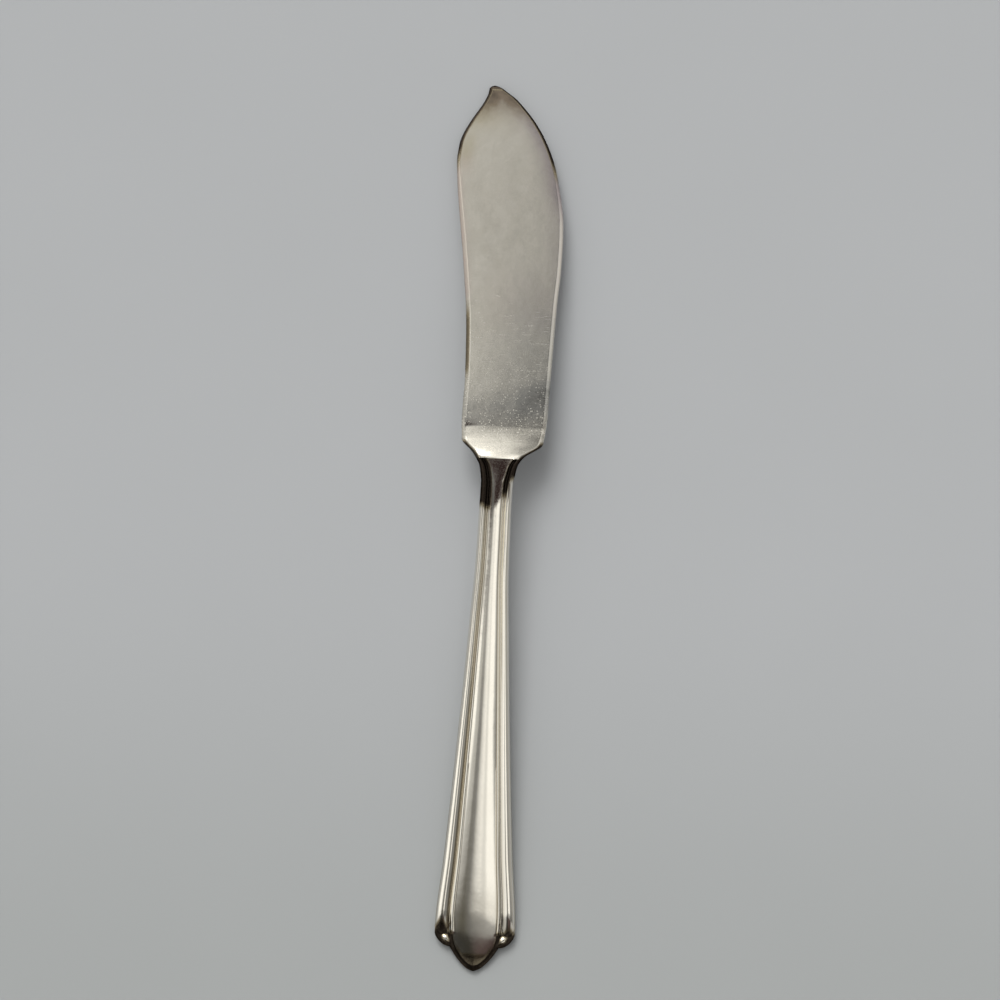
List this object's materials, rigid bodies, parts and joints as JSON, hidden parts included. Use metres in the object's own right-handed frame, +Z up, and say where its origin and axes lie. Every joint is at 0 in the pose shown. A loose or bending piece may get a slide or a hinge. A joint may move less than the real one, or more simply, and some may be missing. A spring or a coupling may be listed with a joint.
{
  "type": "master butter knife",
  "caption": "Flat-handled master butter knife with a hooked, bulging blade, a creased neck and a beaded handle that ends in a pointed tongue; silver-plated serving knife for butter.",
  "frame": {"origin": "middle of the knife's box in X and Y, at the level of the table it lies on", "axes": "+Y along the handle's axis toward the blade tip, +X toward the butter edge, +Z up out of the knife's back"},
  "size_m": [0.0224, 0.18, 0.0081],
  "materials": {
    "nickel_silver": "struck nickel silver, hidden under the plating",
    "silver": "electroplated silver, polished and worn, fine scratches and warm tarnish"
  },
  "bodies": {
    "root": {"nickel_silver_blank": "nickel_silver", "silver_plate": "silver"}
  },
  "joints": []
}
